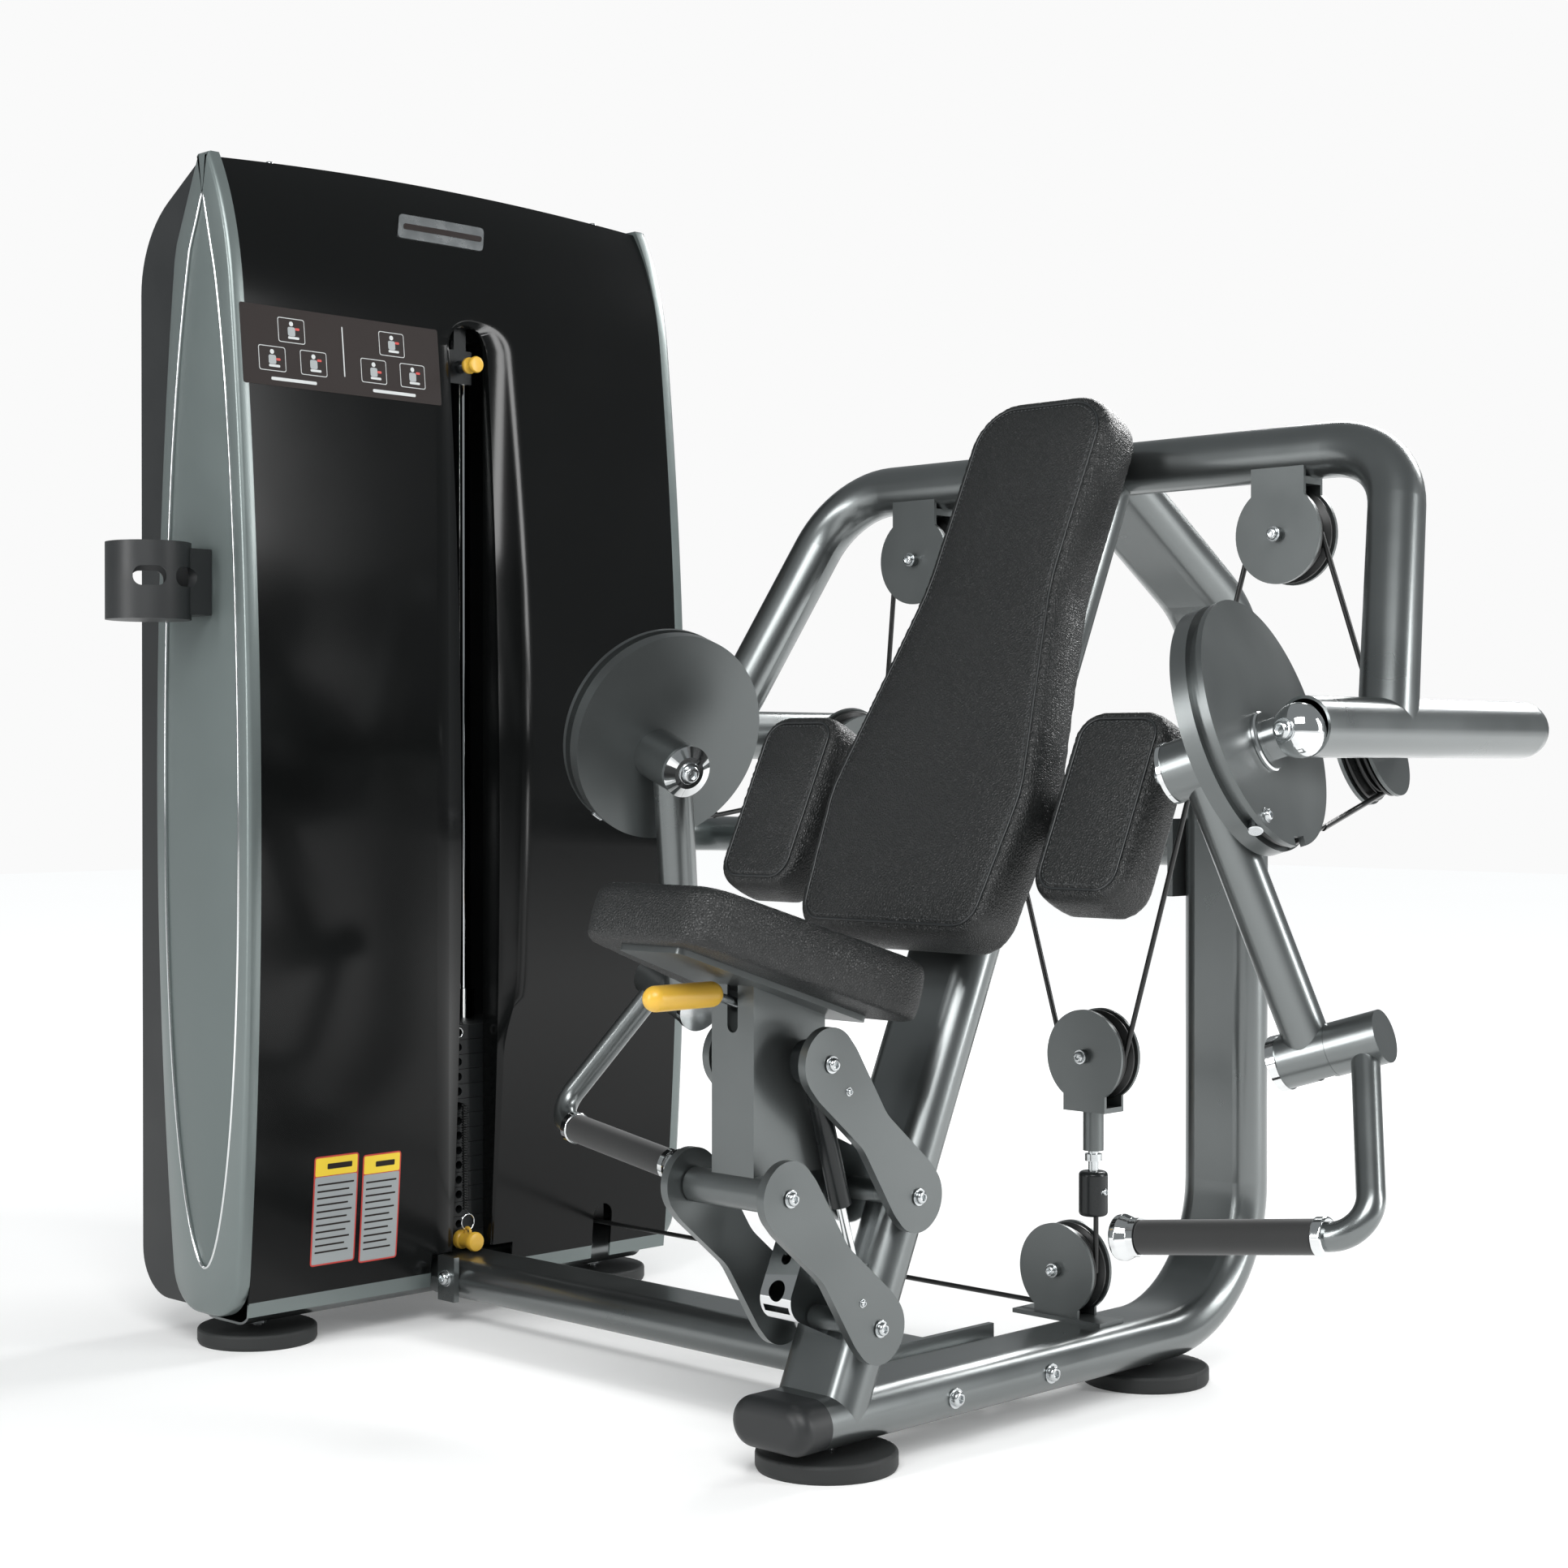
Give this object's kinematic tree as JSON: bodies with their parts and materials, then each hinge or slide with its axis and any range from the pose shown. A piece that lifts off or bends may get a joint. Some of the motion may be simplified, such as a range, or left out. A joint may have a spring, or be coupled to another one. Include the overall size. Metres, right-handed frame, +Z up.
{
  "type": "shoulder press machine",
  "caption": "Seated selectorised gym machine with a padded seat, independent swinging arms with swivel handles, a cable and pulley train, and an enclosed weight tower.",
  "frame": {"origin": "floor level, under the centre of the front foot of the seat rail, on the mid-plane of the seat", "axes": "+Z up; +Y from the front foot towards the rear column, so the user faces -Y; the weight tower stands on the -X side"},
  "size_m": [1.6802, 1.0068, 1.5],
  "materials": {
    "silver_coat": "metallic powder coat, semi gloss",
    "black_rubber": "matte",
    "black_vinyl": "embossed leather grain",
    "black_gloss": "polished",
    "black_plastic": "fine texture",
    "pulley_nylon": "moulded",
    "cable_sheath": "smooth sheath",
    "chrome": "polished",
    "zinc": "bright zinc",
    "black_steel": "satin",
    "yellow_plastic": "satin"
  },
  "bodies": {
    "frame": {"foot_pads": "black_rubber", "foot_studs": "zinc", "arch_tube": "silver_coat", "side_tubes": "silver_coat", "seat_post": "silver_coat", "base_rail": "silver_coat", "rail_end_cap": "black_rubber", "bridge_tube": "silver_coat", "rear_brace": "silver_coat", "pivot_shafts": "chrome", "post_lugs": "silver_coat", "lock_housing": "chrome", "backrest_pad": "black_vinyl", "right_side_pad": "black_vinyl", "left_side_pad": "black_vinyl", "pad_brackets": "silver_coat", "pulley_brackets": "silver_coat", "bottom_pulley_bracket": "silver_coat", "arm_cables": "cable_sheath", "v_strands": "cable_sheath", "drop_cable": "cable_sheath", "lift_cable": "cable_sheath", "floor_cable": "cable_sheath", "tower_front_panel": "black_gloss", "tower_near_cover": "silver_coat", "tower_far_cover": "silver_coat", "tower_rear_shell": "black_plastic", "tower_uprights": "silver_coat", "tower_beams": "silver_coat", "tower_pulleys": "pulley_nylon", "guide_rods": "chrome", "cup_holder": "black_plastic", "frame_bolts": "zinc"},
    "right_arm": {"right_arm_tube": "silver_coat", "right_cam": "silver_coat"},
    "right_handle_swivel": {"right_handle": "silver_coat", "right_grip": "black_rubber"},
    "right_upper_wheel": {"right_upper_pulley": "pulley_nylon"},
    "right_lower_wheel": {"right_lower_pulley": "pulley_nylon"},
    "left_arm": {"left_arm_tube": "silver_coat", "left_cam": "silver_coat"},
    "left_handle_swivel": {"left_handle": "silver_coat", "left_grip": "black_rubber"},
    "left_upper_wheel": {"left_upper_pulley": "pulley_nylon"},
    "left_lower_wheel": {"left_lower_pulley": "pulley_nylon"},
    "lower_link_pair": {"lower_links": "silver_coat"},
    "upper_link_pair": {"upper_links": "silver_coat"},
    "seat": {"seat_carriage": "silver_coat", "carriage_bolts": "zinc", "seat_pad": "black_vinyl"},
    "lever": {"seat_lever": "yellow_plastic"},
    "spring_rod": {"gas_spring_rod": "silver_coat"},
    "spring_cylinder": {"gas_spring_cylinder": "silver_coat"},
    "trolley": {"floating_block": "silver_coat"},
    "trolley_wheel": {"floating_pulley": "pulley_nylon"},
    "floor_wheel": {"bottom_pulley": "pulley_nylon"},
    "weight_stack": {"weight_plates": "black_steel", "lift_plate": "black_steel"},
    "pin": {"selector_pin": "yellow_plastic"},
    "plunger": {"plunger_knob": "yellow_plastic"}
  },
  "joints": [
    {"name": "right_arm_swing", "type": "hinge", "parent": "frame", "child": "right_arm", "pos_m": [0.34962, 0.12708, 0.72389], "axis": [0.9371, 0.1855, 0.2957], "range_deg": [-115, 0]},
    {"name": "right_handle_turn", "type": "hinge", "parent": "right_arm", "child": "right_handle_swivel", "pos_m": [0.4715, 0.224, 0.454], "axis": [0.9371, 0.1855, 0.2957], "range_deg": [-60, 0]},
    {"name": "right_upper_wheel_spin", "type": "hinge", "parent": "frame", "child": "right_upper_wheel", "pos_m": [0.264, 0.448, 0.981], "axis": [0, 1, 0], "range_deg": [0, 306]},
    {"name": "right_lower_wheel_spin", "type": "hinge", "parent": "frame", "child": "right_lower_wheel", "pos_m": [0.37515, 0.44102, 0.74528], "axis": [0.9371, 0.1855, 0.2957], "range_deg": [-306, 0]},
    {"name": "left_arm_swing", "type": "hinge", "parent": "frame", "child": "left_arm", "pos_m": [-0.34962, 0.12708, 0.72389], "axis": [0.9371, -0.1855, -0.2957], "range_deg": [-115, 0]},
    {"name": "left_handle_turn", "type": "hinge", "parent": "left_arm", "child": "left_handle_swivel", "pos_m": [-0.4715, 0.224, 0.454], "axis": [0.9371, -0.1855, -0.2957], "range_deg": [-60, 0]},
    {"name": "left_upper_wheel_spin", "type": "hinge", "parent": "frame", "child": "left_upper_wheel", "pos_m": [-0.264, 0.448, 0.981], "axis": [0, -1, 0], "range_deg": [0, 306]},
    {"name": "left_lower_wheel_spin", "type": "hinge", "parent": "frame", "child": "left_lower_wheel", "pos_m": [-0.37515, 0.44102, 0.74528], "axis": [0.9371, -0.1855, -0.2957], "range_deg": [-306, 0]},
    {"name": "seat_height", "type": "hinge", "parent": "frame", "child": "lower_link_pair", "pos_m": [0, 0.0015, 0.155], "axis": [1, 0, 0], "range_deg": [-4, 35]},
    {"name": "upper_link_turn", "type": "hinge", "parent": "frame", "child": "upper_link_pair", "pos_m": [0, 0.06, 0.283], "axis": [1, 0, 0], "range_deg": [-4, 35]},
    {"name": "seat_level", "type": "hinge", "parent": "lower_link_pair", "child": "seat", "pos_m": [0, -0.1295, 0.303], "axis": [1, 0, 0], "range_deg": [-35, 4]},
    {"name": "seat_lever_pull", "type": "hinge", "parent": "seat", "child": "lever", "pos_m": [0, -0.097, 0.482], "axis": [1, 0, 0], "range_deg": [0, 8], "stiffness_Nm_per_rad": 2, "springref_deg": -17.19},
    {"name": "gas_spring_tilt", "type": "hinge", "parent": "frame", "child": "spring_rod", "pos_m": [0.045, -0.002, 0.2], "axis": [1, 0, 0], "range_deg": [-3.5, 29]},
    {"name": "gas_spring_stroke", "type": "slide", "parent": "spring_rod", "child": "spring_cylinder", "axis": [0, -0.2862, 0.9582], "range_m": [-0.06, 0.008]},
    {"name": "stack_lift", "type": "slide", "parent": "frame", "child": "weight_stack", "axis": [0, 0, 1], "range_m": [0, 0.23], "deforming": ["lift_cable"]},
    {"name": "trolley_lift", "type": "slide", "parent": "frame", "child": "trolley", "axis": [0, 0, 1], "range_m": [0, 0.23], "deforming": ["v_strands", "drop_cable"]},
    {"name": "trolley_wheel_spin", "type": "hinge", "parent": "trolley", "child": "trolley_wheel", "pos_m": [0, 0.448, 0.394], "axis": [0, 1, 0], "continuous": true},
    {"name": "floor_wheel_spin", "type": "hinge", "parent": "frame", "child": "floor_wheel", "pos_m": [-0.041, 0.448, 0.142], "axis": [0, -1, 0], "range_deg": [0, 294]},
    {"name": "selector_pin_pull", "type": "slide", "parent": "weight_stack", "child": "pin", "axis": [1, 0, 0], "range_m": [0, 0.06]},
    {"name": "plunger_pull", "type": "slide", "parent": "frame", "child": "plunger", "axis": [1, 0, 0], "range_m": [0, 0.012], "stiffness_N_per_m": 400, "springref_m": -0.005}
  ],
  "couplings": [
    {"joint": "right_upper_wheel_spin", "follows": "right_arm_swing", "ratio": -2.6444},
    {"joint": "right_lower_wheel_spin", "follows": "right_arm_swing", "ratio": 2.6444},
    {"joint": "left_upper_wheel_spin", "follows": "left_arm_swing", "ratio": -2.6444},
    {"joint": "left_lower_wheel_spin", "follows": "left_arm_swing", "ratio": 2.6444},
    {"joint": "upper_link_turn", "follows": "seat_height", "ratio": 1},
    {"joint": "seat_level", "follows": "seat_height", "ratio": -1},
    {"joint": "gas_spring_tilt", "follows": "seat_height", "ratio": 0.81},
    {"joint": "gas_spring_stroke", "follows": "seat_height", "m_per_rad": -0.094},
    {"joint": "trolley_lift", "follows": "stack_lift", "ratio": 1},
    {"joint": "floor_wheel_spin", "follows": "stack_lift", "rad_per_m": 22.222}
  ]
}
